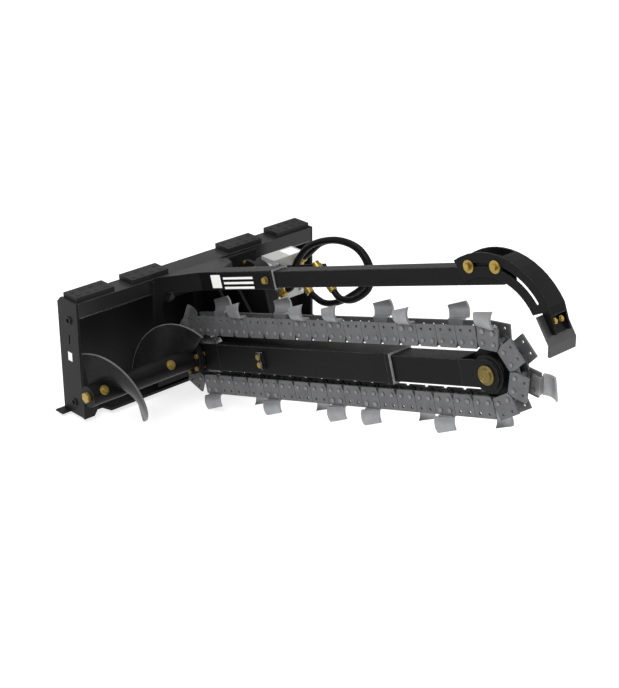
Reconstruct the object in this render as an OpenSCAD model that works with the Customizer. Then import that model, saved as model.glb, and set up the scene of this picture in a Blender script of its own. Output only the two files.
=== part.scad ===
// Trencher for a compact loader: digging boom, crumber arm, auger and quick-attach frame.
// X runs along the frame, the boom points toward -Y, Z is up.
// The origin is the middle of the face that rests on the carrier.

/* [Frame] */
// Width of the mounting frame
frame_w = 1120; // [1000:10:1300]
// Height of the mounting frame
frame_h = 440; // [400:5:500]
// Depth of the end plates
end_d = 114; // [110:2:150]
// Thickness of the end plates
end_t = 10; // [6:1:16]
// Height of the top rail
rail_h = 54; // [44:2:70]
// Depth from the front of the rail to the back plate
rail_d = 78; // [74:2:90]
// Thickness of the back plate
back_t = 8; // [6:1:12]
// Length of a step plate
step_w = 164; // [120:2:180]
// Height of a step plate
step_h = 18; // [12:1:24]

/* [Boom] */
// Distance from the near end of the frame to the boom's middle
boom_x = 436; // [400:2:520]
// Angle that the boom rises toward its tip, in degrees
boom_pitch = 16.3; // [0:0.1:20]
// Side of the square outer boom tube
tube_w = 98; // [90:1:110]
// Wall of the boom tubes
tube_t = 6; // [4:0.5:8]
// Height of the head shaft above the frame's bottom edge
head_z = 180; // [175:1:200]
// Distance of the head shaft in front of the frame
head_y = 176; // [172:1:200]
// Radius of the head shaft
shaft_r = 25; // [20:1:28]

/* [Digging chain] */
// Pitch of the digging chain
pitch = 42; // [40:0.5:44]
// Pitches in one straight run
run_links = 34; // [30:2:44]
// Teeth of the drive sprocket
sprocket_teeth = 14; // [14:2:16]
// Height of a link plate outside the pin line
plate_out = 51; // [40:1:56]
// Height of a link plate inside the pin line
plate_in = 20; // [16:1:22]
// Radius of a chain roller
roller_r = 11; // [9:0.5:12]
// Radius of a chain pin
pin_r = 6.5; // [5:0.5:8]

/* [Auger] */
// Outer radius of the auger flights
flight_r = 150; // [140:2:170]
// Outer radius of the auger sleeve
sleeve_r = 38; // [34:1:42]
// Axial length of one turn of a flight
flight_lead = 350; // [300:10:450]

/* [Crumber] */
// Angle that the crumber arm rises, in degrees
arm_pitch = 17.3; // [10:0.1:20]
// Side of the square outer crumber tube
arm_w = 65; // [60:1:70]
// Wall of the crumber tubes
arm_t = 4; // [3:0.5:6]
// Length of the crumber arm from the frame to the end of its outer tube
arm_len = 611; // [560:1:700]
// Radius of the outer edge of the curved beam
beam_r = 252; // [240:2:270]
// Width of the curved beam
beam_w = 72; // [60:1:80]
// Width of the crumber shoe
shoe_w = 116; // [90:2:130]

/* [Hydraulics] */
// Radius of a hose
hose_r = 12; // [8:0.5:14]

/* [Hidden] */
$fn = 48;
slip = 0.3;
fit = 0.05;
carrier_y = rail_d + back_t;
rail_z = frame_h - rail_h;
tube_in = tube_w - 2 * tube_t;
inner_w = tube_in - 2 * slip;
half = tube_w / 2;
inner_half = inner_w / 2;

// digging chain
wrap_links = sprocket_teeth / 2;
wrap_r = pitch / 2 / sin(180 / sprocket_teeth);
wrap_step = 360 / sprocket_teeth;
loop_links = 2 * (run_links + wrap_links);
chain_shift = 0.77;
boom_len = run_links * pitch;
roller_half = 16.6;
strap_in = 17;
strap_t = 6.5;
plate_x = strap_in + strap_t + 0.4;
plate_t = 7;
plate_face = plate_x + plate_t;
plate_half = pitch - 1;
link_bolt_r = 5;
link_bolt_y = 20;
link_bolt_z = plate_out - 15;
foot_t = 6;
tooth_len = 74;
tooth_t = 7;
tooth_h = 50;
near_links = [5, 13, 17, 25, 33, 45, 53, 57, 65, 73];
far_links = [1, 9, 21, 29, 37, 41, 49, 61, 69, 79];

// boom
outer_start = 128;
outer_end = 1020;
inner_start = 700;
nose_start = boom_len - 112;
cheek_in = plate_face + 5.3;
cheek_t = inner_half - cheek_in;
nose_r = 60;
axle_r = 22;
idler_r = wrap_r - roller_r - slip;
bearing_r = 40;
bearing_w = 18;
head_bearing_r = 42;

// carriage
carriage_x0 = 330;
carriage_x1 = 818;
carriage_t = 12;
carriage_z0 = 16;
housing_r = 50;
housing_in = 44;
case_x0 = 700;
case_x1 = 760;
case_wall = 5;
motor_y = 116;
motor_z = 372;
case_r = 62;
case_flange = 14;
motor_teeth = 11;
driven_teeth = 15;

// crumber
arm_root_z = 412;
arm_in = arm_w - 2 * arm_t;
stem_w = arm_in - 2 * slip;
beam_s = 1572;
beam_z = -180;
beam_t = 6;
beam_gap = stem_w / 2 + slip;
slot_r = beam_r - beam_w / 2;
slot_half = 6.5;
beam_bolt_r = 6;
pin_s1 = 1526;
pin_s2 = 1618;

// Places a child drawn from the frame's near, front, bottom corner.
module framed() {
    translate([-frame_w / 2, -carrier_y, -frame_h / 2]) children();
}

// Places a child drawn from the head shaft's axis, with the boom along -Y.
module on_boom() {
    framed() translate([boom_x, -head_y, head_z]) rotate([-boom_pitch, 0, 0]) children();
}

// Places a child drawn from the crumber arm's root, with the arm along -Y.
module on_arm() {
    framed() translate([boom_x, 0, arm_root_z]) rotate([-arm_pitch, 0, 0]) children();
}

// Bar with its axis along X, from x0 to x1.
module rod(x0, x1, r) {
    translate([x0, 0, 0]) rotate([0, 90, 0]) cylinder(h = x1 - x0, r = r);
}

// Profile drawn in Y and Z, extruded from x0 to x1.
module slab(x0, x1) {
    translate([x0, 0, 0]) rotate([90, 0, 90]) linear_extrude(x1 - x0) children();
}

// Box between two corners.
module box(low, high) {
    translate(low) cube(high - low);
}

// Hexagon bolt head along X, from x0 to x1.
module hex_head(x0, x1, r) {
    translate([x0, 0, 0]) rotate([0, 90, 0]) cylinder(h = x1 - x0, r = r, $fn = 6);
}

// ---- frame ----

// Height of the flat face that rests on the carrier.
plate_top = frame_h - 44;

module back_plate() {
    color("#1c1c1e") framed() box([end_t, rail_d, 0], [frame_w - end_t, carrier_y, plate_top]);
}

// Hollow rail with a round lower lip along its front edge.
module top_rail() {
    lip_r = 6;
    color("#1c1c1e") framed() difference() {
        union() {
            box([end_t, 0, rail_z], [frame_w - end_t, rail_d, frame_h]);
            translate([0, lip_r, rail_z]) rod(end_t, frame_w - end_t, lip_r);
        }
        box([end_t - 1, 6, rail_z + 6], [frame_w - end_t + 1, rail_d - 6, frame_h - 6]);
    }
}

module end_plate() {
    difference() {
        union() {
            slab(0, end_t) polygon([
                [0, 0], [end_d, 0], [end_d, frame_h - 18], [end_d - 20, frame_h + 2],
                [0, frame_h + 2],
            ]);
            translate([0, 50, frame_h - 75]) rod(-5, end_t, 15);
            translate([0, 48, 47]) rod(-5, end_t, 15);
        }
        translate([0, 50, frame_h - 75]) rod(-6, end_t + 1, 9);
        translate([0, 48, 47]) rod(-6, end_t + 1, 9);
        box([-1, 50, 272], [end_t + 1, 58, 310]);
    }
}

module end_plates() {
    color("#1c1c1e") framed() {
        end_plate();
        translate([frame_w, 0, 0]) mirror([1, 0, 0]) end_plate();
    }
}

// Front bar along the bottom edge, with the slots behind it that the locking wedges are seen through.
module bottom_flange() {
    flange_t = 10;
    slot_y = 48;
    color("#1c1c1e") framed() difference() {
        translate([0, 0, -2]) linear_extrude(flange_t) polygon([
            [end_t, 24], [100, 24], [112, -17], [frame_w - 112, -17], [frame_w - 100, 24],
            [frame_w - end_t, 24], [frame_w - end_t, rail_d], [end_t, rail_d],
        ]);
        for (x = [104, 317, frame_w - 450, frame_w - 237])
            box([x, slot_y, -3], [x + 133, rail_d - 2, flange_t]);
    }
}

module foot_gusset() {
    difference() {
        slab(-8, 0) polygon([[0, -3], [44, -3], [61, 23], [61, 71], [0, 71]]);
        translate([0, 11, 52]) rod(-9, 1, 6);
    }
}

module foot_gussets() {
    color("#1c1c1e") framed() {
        rotate([0, 0, 90]) mirror([0, 1, 0]) foot_gusset();
        translate([frame_w, 0, 0]) mirror([1, 0, 0]) rotate([0, 0, 90]) mirror([0, 1, 0]) foot_gusset();
    }
}

// Lip that the carrier's locking wedges drop through, and the sloped lip that hooks over the carrier.
module carrier_lip() {
    color("#1c1c1e") framed() {
        difference() {
            box([-30, carrier_y, -6], [frame_w + 30, carrier_y + 44, -0.5]);
            for (x = [190, frame_w - 190])
                box([x - 45, carrier_y + 14, -7], [x + 45, carrier_y + 36, 1]);
        }
        slab(end_t, frame_w - end_t) polygon([
            [rail_d, frame_h], [rail_d, plate_top], [carrier_y, plate_top], [carrier_y, frame_h - 40],
            [carrier_y + 22, frame_h - 62], [carrier_y + 28, frame_h - 56], [carrier_y, frame_h - 28],
            [carrier_y, frame_h],
        ]);
    }
}

module step_plates() {
    tread_r = 8;
    color("#202022") framed() for (x = [11, 253, frame_w - 417, frame_w - 175])
        translate([x, 11, frame_h]) {
            difference() {
                cube([step_w, rail_d, step_h]);
                box([4, 4, -1], [step_w - 4, rail_d - 4, step_h - 4]);
            }
            for (i = [0 : 3], j = [0 : 1])
                translate([22 + i * 40, rail_d / 2 - 18 + j * 36, step_h])
                    cylinder(h = 2, r = tread_r, $fn = 24);
        }
}

module blank_label() {
    color("white") framed() box([-0.6, 44, 208], [0, 68, 241]);
}

// ---- carriage ----

module carriage_plate() {
    color("#1c1c1e") framed() difference() {
        box([carriage_x0, -carriage_t - slip, carriage_z0], [carriage_x1, -slip, frame_h - 6]);
        box([boom_x - 68, -100, 70], [boom_x + 74, 1, 352]);
        for (x = clamp_xs) translate([x, 0, clamp_z]) rotate([90, 0, 0])
            cylinder(h = 40, r = 8.5, center = true);
    }
}

clamp_xs = [carriage_x0 + 70, carriage_x1 - 70];
clamp_z = rail_z - 26;

module clamp_blocks() {
    color("#2a2a2c") framed() for (x = clamp_xs) {
        difference() {
            box([x - 35, slip, clamp_z - 20], [x + 35, 34, rail_z - 6 - slip]);
            translate([x, 0, clamp_z]) rotate([90, 0, 0]) cylinder(h = 80, r = 8.1, center = true);
        }
        box([x - 35, slip, 8.3], [x + 35, 30, 40]);
    }
}

module clamp_bolts() {
    color("#c9a24a") framed() for (x = clamp_xs) translate([x, 0, clamp_z]) rotate([90, 0, 0]) {
        translate([0, 0, -46]) cylinder(h = 46 + carriage_t + slip, r = 8);
        translate([0, 0, carriage_t + slip]) cylinder(h = 3, r = 18);
        translate([0, 0, carriage_t + slip + 3]) cylinder(h = 10, r = 13, $fn = 6);
    }
}

gusset_xs = [560, 640];

module support_gussets() {
    y = -carriage_t - slip;
    color("#1c1c1e") framed() for (x = gusset_xs) difference() {
        slab(x, x + 12) polygon([
            [y, 60], [-140, 96], [-head_y - 62, 130], [-head_y - 70, 200], [-113, 347], [-90, 372],
            [y, 372],
        ]);
        translate([0, -head_y, head_z]) rod(x - 1, x + 13, housing_r + fit);
    }
}

module shaft_housing() {
    color("#1c1c1e") framed() translate([boom_x, -head_y, head_z]) difference() {
        union() {
            rod(half + fit, case_x0 - boom_x, housing_r);
            rod(half + fit, half + 12, 66);
        }
        rod(half, case_x0 - boom_x + 1, housing_in);
    }
}

// ---- boom ----

module boom_head_cheeks() {
    cheek_r = 64;
    color("#1c1c1e") on_boom() for (side = [0, 1]) mirror([side, 0, 0]) difference() {
        union() {
            box([half - tube_t, -outer_start, -half], [half, 0, half]);
            rod(half - tube_t, half, cheek_r);
        }
        rod(half - tube_t - 1, half + 1, head_bearing_r + fit);
    }
}

module square_tube(start, end, w, t) {
    difference() {
        box([-w / 2, -end, -w / 2], [w / 2, -start, w / 2]);
        box([-w / 2 + t, -end - 1, -w / 2 + t], [w / 2 - t, -start + 1, w / 2 - t]);
    }
}

module boom_outer_tube() {
    bulkhead = 420;
    color("#1c1c1e") on_boom() difference() {
        union() {
            square_tube(outer_start, outer_end, tube_w, tube_t);
            box([-half + 1, -bulkhead - 12, -half + 1], [half - 1, -bulkhead, half - 1]);
            square_tube(outer_end - 22, outer_end, tube_w + 4, 2);
        }
        translate([0, -bulkhead + 20, 0]) rotate([90, 0, 0]) cylinder(h = 60, r = 13);
        for (z = boom_bolt_zs) translate([0, -boom_bolt_y, z]) rod(-half - 1, -half + tube_t + 1, 7.1);
    }
}

boom_bolt_y = 364;
boom_bolt_zs = [-14, 14];

module boom_bolts() {
    color("#c9a24a") on_boom() for (z = boom_bolt_zs) translate([0, -boom_bolt_y, z]) {
        rod(-half - 4, -half + 12, 7);
        hex_head(-half - 12, -half - 4, 11);
    }
}

module adjuster_tab() {
    color("#8f9194") on_boom() difference() {
        union() {
            box([-half - 4, -boom_bolt_y - 14, -30], [-half, -boom_bolt_y + 14, 30]);
            box([-half - 14, -boom_bolt_y - 18, -30], [-half, -boom_bolt_y - 14, 30]);
        }
        for (z = boom_bolt_zs) translate([0, -boom_bolt_y, z]) rod(-half - 5, -half + 1, 7.1);
    }
}

module head_bearings() {
    color("#5d6064") on_boom() for (side = [0, 1]) mirror([side, 0, 0]) difference() {
        rod(half - bearing_w, half - fit, head_bearing_r);
        rod(half - bearing_w - 1, half + 1, shaft_r + fit);
    }
}

// Moves a child from the head shaft to the motor shaft.
module at_motor() {
    framed() translate([0, -motor_y, motor_z]) children();
}

module at_head() {
    framed() translate([0, -head_y, head_z]) children();
}

// Long rounded outline around the head shaft and the motor shaft, grown by g.
module case_outline(g) {
    hull() {
        translate([-head_y, head_z]) circle(r = case_r + g, $fn = 72);
        translate([-motor_y, motor_z]) circle(r = case_r + g, $fn = 72);
    }
}

module drive_case() {
    color("#1c1c1e") framed() difference() {
        union() {
            slab(case_x0, case_x1) case_outline(0);
            slab(case_x0, case_x0 + 6) case_outline(case_flange);
        }
        slab(case_x0 - 1, case_x1 - case_wall) case_outline(-case_wall);
        translate([0, -motor_y, motor_z]) rod(case_x0 + 1, case_x1 + 1, 20);
        for (p = case_bolt_spots) translate([0, p[0], p[1]]) rod(case_x0 - 1, case_x0 + 7, 4.1);
    }
}

module case_cover() {
    color("#242426") framed() difference() {
        slab(case_x0 - 6, case_x0) case_outline(case_flange);
        translate([0, -head_y, head_z]) rod(case_x0 - 7, case_x0 + 1, housing_r + fit);
        for (p = case_bolt_spots) translate([0, p[0], p[1]]) rod(case_x0 - 7, case_x0 + 1, 4.1);
    }
}

// Cover bolts, around both ends of the case.
case_bolt_circle = case_r + case_flange / 2;
case_bolt_spots = [
    for (a = [200, 250, 300]) [-head_y, head_z] + case_bolt_circle * [cos(a), sin(a)],
    for (a = [20, 70, 120]) [-motor_y, motor_z] + case_bolt_circle * [cos(a), sin(a)],
];

module case_bolts() {
    color("#c9a24a") framed() for (p = case_bolt_spots) translate([0, p[0], p[1]]) {
        rod(case_x0 - 6, case_x0 + 6, 4);
        hex_head(case_x0 - 12, case_x0 - 6, 7);
    }
}

// ---- drive ----

drive_pitch = 19.05;
drive_roller = 6;
motor_r = drive_pitch / 2 / sin(180 / motor_teeth);
driven_r = drive_pitch / 2 / sin(180 / driven_teeth);
sprocket_x = 728;

// Toothed wheel along X, from x0 to x1, with a round gap for each roller.
module sprocket(x0, x1, teeth, pitch_r, gap_r, tip, bore) {
    difference() {
        rod(x0, x1, pitch_r + tip);
        for (i = [0 : teeth - 1]) rotate([i * 360 / teeth, 0, 0])
            translate([0, 0, pitch_r]) rod(x0 - 1, x1 + 1, gap_r);
        rod(x0 - 1, x1 + 1, bore);
    }
}

module driven_sprocket() {
    color("#6c6f73") at_head() difference() {
        union() {
            sprocket(sprocket_x, sprocket_x + 10, driven_teeth, driven_r, drive_roller, 4, 1);
            rod(sprocket_x - 8, sprocket_x + 18, 36);
        }
        rod(sprocket_x - 9, sprocket_x + 19, shaft_r + fit);
    }
}

module motor_sprocket() {
    color("#6c6f73") at_motor() difference() {
        union() {
            sprocket(sprocket_x, sprocket_x + 10, motor_teeth, motor_r, drive_roller, 4, 1);
            rod(sprocket_x - 8, sprocket_x + 18, 22);
        }
        rod(sprocket_x - 9, sprocket_x + 19, motor_shaft_r + fit);
    }
}

motor_shaft_r = 16;

module motor_shaft() {
    color("#9a9da1") at_motor() rod(sprocket_x - 10, case_x1 + 30, motor_shaft_r);
}

module drive_chain() {
    gap = 4.6;
    band = 5;
    color("#5d6064") framed() slab(sprocket_x - 2, sprocket_x + 12) difference() {
        drive_loop(gap + band);
        drive_loop(gap);
    }
}

// Outline of the loop around both sprockets, g outside their pitch circles.
module drive_loop(g) {
    hull() {
        translate([-head_y, head_z]) circle(r = driven_r + g);
        translate([-motor_y, motor_z]) circle(r = motor_r + g);
    }
}

// Axis of a union, tilted up and forward from the motor's front face.
module at_port(p) {
    at_motor() translate([p[0], -34, p[1]]) rotate([50, 0, 0]) children();
}

module hydraulic_motor() {
    color("#c9cac8") difference() {
        at_motor() union() {
            rod(case_x1, case_x1 + 12, 50);
            rod(case_x1 + 12, motor_x0, 42);
            box([motor_x0, -34, -110], [motor_x1, 36, 61]);
        }
        at_motor() rod(case_x1 - 1, case_x1 + 32, motor_shaft_r + slip);
        for (p = ports) at_port(p) translate([0, 0, -16]) cylinder(h = 60, r = port_r + fit);
    }
}

motor_x0 = 786;
motor_x1 = 936;
ports = [[812, -84], [898, 22]];
port_r = 12;

// Unions between the motor's ports and the hoses.
module hose_fittings() {
    color("#c9a24a") for (p = ports) at_port(p) {
        translate([0, 0, -16]) cylinder(h = 32, r = port_r);
        translate([0, 0, 16]) cylinder(h = 14, r = 19, $fn = 6);
        translate([0, 0, 30]) cylinder(h = 24, r = 15);
    }
}

// Middle of each coupler, and the tilt of its axis.
coupler_spots = [[796, -400, 455], [856, -215, 372]];
coupler_tilt = 130;

module coupler_axis(i) {
    translate(coupler_spots[i]) rotate([coupler_tilt, 0, 0]) children();
}

// Bars and plates that carry the two couplers in front of the motor.
module coupler_holder() {
    color("#1c1c1e") framed() difference() {
        union() {
            slab(820, 828) polygon([[-150, 372], [-150, 404], [-386, 480], [-414, 440]]);
            coupler_axis(0) box([-22, -24, -4], [32, 24, 4]);
            slab(880, 888) polygon([[-150, 328], [-150, 364], [-200, 395], [-230, 350]]);
            coupler_axis(1) box([-22, -24, -4], [32, 24, 4]);
        }
        for (i = [0, 1]) coupler_axis(i) cylinder(h = 120, r = 17.1, center = true);
    }
}

// Quick couplers, with the hose end down and forward and the nose up toward the frame.
module couplers() {
    color("#b9964a") framed() for (i = [0, 1]) coupler_axis(i) {
        translate([0, 0, -34]) cylinder(h = 74, r = 17);
        translate([0, 0, 6]) cylinder(h = 16, r = 22, $fn = 6);
        translate([0, 0, -48]) cylinder(h = 14, r = coupler_nose_r);
    }
}

coupler_nose_r = 14;

// Tube swept along a list of points, with a ring of sides at each point.
function unit(v) = v / norm(v);
function heading(p, i) = unit(p[min(i + 1, len(p) - 1)] - p[max(i - 1, 0)]);
function side_way(h) = unit(cross(h, [1, 0.13, 0.07]));
function ring(p, h, i, r, sides) = let (a = side_way(h), b = cross(h, a))
    [for (k = [0 : sides - 1]) p[i] + r * (a * cos(k * 360 / sides) + b * sin(k * 360 / sides))];
// Point at t along a smooth curve through four points.
function between(a, b, c, d, t) = 0.5 * (2 * b + (c - a) * t + (2 * a - 5 * b + 4 * c - d) * t * t
    + (3 * b - a - 3 * c + d) * t * t * t);
function smooth(p, n) = [
    for (i = [0 : len(p) - 2], k = [0 : n - 1])
        between(p[max(i - 1, 0)], p[i], p[i + 1], p[min(i + 2, len(p) - 1)], k / n),
    p[len(p) - 1],
];

module hose(points, r) {
    sides = 10;
    path = smooth(points, 3);
    last = len(path) - 1;
    first_way = unit(points[1] - points[0]);
    last_way = unit(points[len(points) - 1] - points[len(points) - 2]);
    rings = [
        for (i = [0 : last])
            each ring(path, i == 0 ? first_way : i == last ? last_way : heading(path, i), i, r, sides),
    ];
    walls = [
        for (i = [0 : last - 1], k = [0 : sides - 1])
            [
                i * sides + k, (i + 1) * sides + k, (i + 1) * sides + (k + 1) % sides,
                i * sides + (k + 1) % sides,
            ],
    ];
    ends = [
        [for (k = [0 : sides - 1]) k],
        [for (k = [sides - 1 : -1 : 0]) last * sides + k],
    ];
    polyhedron(rings, concat(walls, ends), convexity = 10);
}

// Hose routes, from each union to its coupler.
pressure_points = concat(
    [port_point(0, 54), port_point(0, 90)],
    [
        [802, -244, 430], [800, -325, 535], [796, -460, 600], [796, -580, 605], [796, -645, 550],
        [796, -640, 470], [796, -570, 405], [796, -500, 385],
    ],
    [coupler_point(0, 76), coupler_point(0, 40)]
);
return_points = concat(
    [port_point(1, 54), port_point(1, 90)],
    [
        [892, -300, 520], [882, -400, 556], [874, -500, 556], [868, -560, 510], [862, -555, 440],
        [858, -480, 370], [856, -410, 325], [856, -340, 305],
    ],
    [coupler_point(1, 76), coupler_point(1, 40)]
);

// Points on the axis of a union and of a coupler, at a distance from its base.
function port_point(i, d) = [ports[i][0], -motor_y - 34 - d * sin(50), motor_z + ports[i][1] + d * cos(50)];
function coupler_point(i, d) = coupler_spots[i] + d * [0, -sin(coupler_tilt), cos(coupler_tilt)];

module pressure_hose() {
    color("#1a1a1a") framed() hose(pressure_points, hose_r);
}

module return_hose() {
    color("#1a1a1a") framed() hose(return_points, hose_r);
}

// ---- crumber ----

// Tapered root that joins the wide carriage to the square arm.
module bracket_plan(g) {
    polygon([
        [carriage_x0 - boom_x + g, 60], [184 - g, 60], [184 - g, -90], [120 - g, -200],
        [arm_w / 2 - g, -262], [arm_w / 2 - g, -300], [-arm_w / 2 + g, -300],
        [-arm_w / 2 + g, -200], [carriage_x0 - boom_x + g, -10],
    ]);
}

module crumber_bracket() {
    color("#1c1c1e") difference() {
        on_arm() intersection() {
            difference() {
                translate([0, 0, -arm_w / 2]) linear_extrude(arm_w) bracket_plan(0);
                translate([0, 0, -arm_w / 2 + arm_t]) linear_extrude(arm_w - 2 * arm_t)
                    bracket_plan(arm_t);
                box([-arm_in / 2, -301, -arm_in / 2], [arm_in / 2, -250, arm_in / 2]);
            }
            slab(-300, 300) polygon([
                [60, 40], [60, 3], [-8, 3], [-97, -27], [-200, -40], [-310, -40], [-310, 40],
            ]);
        }
        framed() box([0, -carriage_t - slip, 0], [frame_w, 200, 2 * frame_h]);
    }
}

module crumber_outer_tube() {
    color("#1c1c1e") on_arm() difference() {
        union() {
            square_tube(300, arm_len, arm_w, arm_t);
            square_tube(arm_len - 16, arm_len, arm_w + 4, 2);
        }
        translate([0, -lock_s, 0]) rod(-arm_w, 0, 7.1);
    }
}

lock_s = 567;
stem_start = 200;

module crumber_lock_bolt() {
    x = -arm_w / 2;
    color("#c9a24a") on_arm() translate([0, -lock_s, 0]) {
        rod(x - 3, -stem_w / 2 - 0.15, 7);
        hex_head(x - 12, x - 3, 12);
        rod(x - 3, x, 13);
    }
}

module crumber_inner_tube() {
    color("#1c1c1e") on_arm() difference() {
        union() {
            square_tube(stem_start, beam_s + 76, stem_w, arm_t);
            for (x = [-stem_w / 2, stem_w / 2 - 8]) slab(x, x + 8) polygon([
                [-1470, stem_w / 2 - 1], [-1496, 48], [-1560, 56], [-1632, 42],
                [-beam_s - 76, stem_w / 2 - 1],
            ]);
        }
        for (a = pin_angles) translate([0, -beam_s, beam_z]) rotate([90 - a, 0, 0])
            translate([0, 0, slot_r]) rod(-100, 100, beam_bolt_r + fit);
    }
}

// Angles of the two bolts about the beam's centre, measured up from the boom's direction.
pin_angles = [102, 74];

module at_beam() {
    on_arm() translate([0, -beam_s, beam_z]) children();
}

// Point on the beam at radius r and angle a, as [Y, Z] from the beam's centre.
function beam_point(r, a) = [-r * cos(a), r * sin(a)];

module beam_outline() {
    steps = 14;
    tail = 114;
    nose = 20;
    polygon(concat(
        [for (i = [0 : steps]) beam_point(beam_r, tail + (nose - tail) * i / steps)],
        [[-243, 5], [-226.6, 5], [-206.8, 68.6]],
        [for (i = [0 : steps]) beam_point(beam_r - beam_w, nose + (tail - nose) * i / steps)]
    ));
}

// Arc slot that the two bolts ride in.
module slot_outline() {
    steps = 12;
    first = pin_angles[0] + 1.5;
    last = 27;
    polygon(concat(
        [for (i = [0 : steps]) beam_point(slot_r + slot_half, first + (last - first) * i / steps)],
        [for (i = [0 : steps]) beam_point(slot_r - slot_half, last + (first - last) * i / steps)]
    ));
    for (a = [first, last]) translate(beam_point(slot_r, a)) circle(r = slot_half);
}

module crumber_beam() {
    color("#1c1c1e") at_beam() {
        for (side = [0, 1]) mirror([side, 0, 0]) slab(beam_gap, beam_gap + beam_t) difference() {
            beam_outline();
            slot_outline();
        }
        difference() {
            slab(-beam_gap, beam_gap) {
                difference() {
                    intersection() {
                        beam_outline();
                        polygon([[0, 0], beam_point(400, rim_end), [-400, 60], [-400, 30]]);
                    }
                    circle(r = beam_r - beam_t, $fn = 120);
                }
                polygon([[-206.8, 68.6], [-226.6, 5], [-234.2, 5], [-214.4, 68.6]]);
            }
            for (x = shoe_bolt_xs) shoe_bolt_axis(x) cylinder(h = 60, r = 6.1, center = true);
        }
    }
}

// Angle at which the rim between the side plates stops, so that it clears the arm when the beam is raised.
rim_end = 70;

module crumber_shoe() {
    color("#202022") at_beam() difference() {
        slab(-shoe_w / 2, shoe_w / 2) polygon([
            [-207.5, 65], [-199.9, 62.6], [-227, -21], [-217.4, -54.6], [-225, -57], [-235.3, -24],
        ]);
        for (x = shoe_bolt_xs) shoe_bolt_axis(x) cylinder(h = 60, r = 6.1, center = true);
    }
}

shoe_bolt_xs = [-14, 14];

module shoe_bolt_axis(x) {
    translate([x, -216.4, 36]) rotate([72.7, 0, 0]) children();
}

module shoe_bolts() {
    color("#c9a24a") at_beam() for (x = shoe_bolt_xs) shoe_bolt_axis(x) {
        translate([0, 0, -8.3]) cylinder(h = 28, r = 6);
        translate([0, 0, -15]) cylinder(h = 6.7, r = 10, $fn = 6);
        translate([0, 0, 8.5]) cylinder(h = 8, r = 10, $fn = 6);
    }
}

module beam_bolts() {
    end = beam_gap + beam_t;
    color("#c9a24a") at_beam() for (a = pin_angles) rotate([90 - a, 0, 0]) translate([0, 0, slot_r]) {
        rod(-end - 4, end + 12, beam_bolt_r);
        hex_head(-end - 13, -end - 4, 11);
    }
}

module beam_washers() {
    x = beam_gap + beam_t + 0.1;
    color("#c9a24a") at_beam() for (a = pin_angles, side = [0, 1]) rotate([90 - a, 0, 0])
        mirror([side, 0, 0]) translate([0, 0, slot_r]) difference() {
            rod(x, x + 3.8, 20);
            rod(x - 1, x + 5, beam_bolt_r + fit);
        }
}

// ---- digging chain ----

// Place of the pin at s pitches around the loop, as [Y, Z] from the head shaft.
function loop_at(s) = let (t = (s + loop_links) % loop_links)
    t < run_links ? [-t * pitch, wrap_r]
    : t < run_links + wrap_links ? let (a = 90 - (t - run_links) * wrap_step)
        [-boom_len - wrap_r * cos(a), wrap_r * sin(a)]
    : t < 2 * run_links + wrap_links ? [-boom_len + (t - run_links - wrap_links) * pitch, -wrap_r]
    : let (a = -90 - (t - 2 * run_links - wrap_links) * wrap_step) [-wrap_r * cos(a), wrap_r * sin(a)];

// Places a child on link i, with Y along the link and Z away from the loop.
module at_link(i) {
    a = loop_at(i + chain_shift);
    b = loop_at(i + 1 + chain_shift);
    turn = atan2(a[1] - b[1], a[0] - b[0]);
    on_boom() translate([0, (a[0] + b[0]) / 2, (a[1] + b[1]) / 2]) rotate([turn, 0, 0]) children();
}

outer_links = [for (i = [1 : 2 : loop_links - 1]) i];
strap_links = [for (i = [0 : 2 : loop_links - 2]) i];

module outer_plate() {
    difference() {
        slab(plate_x, plate_face) polygon([
            [-plate_half, 0], [-plate_half + 8, -plate_in], [plate_half - 8, -plate_in],
            [plate_half, 0], [plate_half, plate_out], [-plate_half, plate_out],
        ]);
        for (y = [-pitch / 2, pitch / 2]) translate([0, y, 0]) rod(plate_x - 1, plate_face + 1, pin_r + 0.2);
        for (y = [-link_bolt_y, link_bolt_y]) translate([0, y, link_bolt_z])
            rod(plate_x - 1, plate_face + 1, link_bolt_r + 0.2);
    }
}

module chain_outer_plates() {
    color("#7c7f83") for (i = outer_links, side = [0, 1]) at_link(i) mirror([side, 0, 0]) outer_plate();
}

module strap() {
    r = 17;
    difference() {
        slab(strap_in, strap_in + strap_t) {
            translate([-pitch / 2, -r]) square([pitch, 2 * r]);
            for (y = [-pitch / 2, pitch / 2]) translate([y, 0]) circle(r = r);
        }
        for (y = [-pitch / 2, pitch / 2]) translate([0, y, 0])
            rod(strap_in - 1, strap_in + strap_t + 1, pin_r + 0.2);
    }
}

module chain_straps() {
    color("#6f7276") for (i = strap_links, side = [0, 1]) at_link(i) mirror([side, 0, 0]) strap();
}

// Places a child on pin i.
module at_pin(i) {
    p = loop_at(i + chain_shift);
    on_boom() translate([0, p[0], p[1]]) children();
}

module chain_pins() {
    color("#8b8e92") for (i = [0 : loop_links - 1]) at_pin(i) {
        rod(-plate_face - 1.5, plate_face + 1.5, pin_r, $fn = 16);
    }
}

module chain_rollers() {
    color("#5d6064") for (i = [0 : loop_links - 1]) at_pin(i) difference() {
        rod(-roller_half, roller_half, roller_r);
        rod(-roller_half - 1, roller_half + 1, pin_r + 0.1);
    }
}

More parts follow.
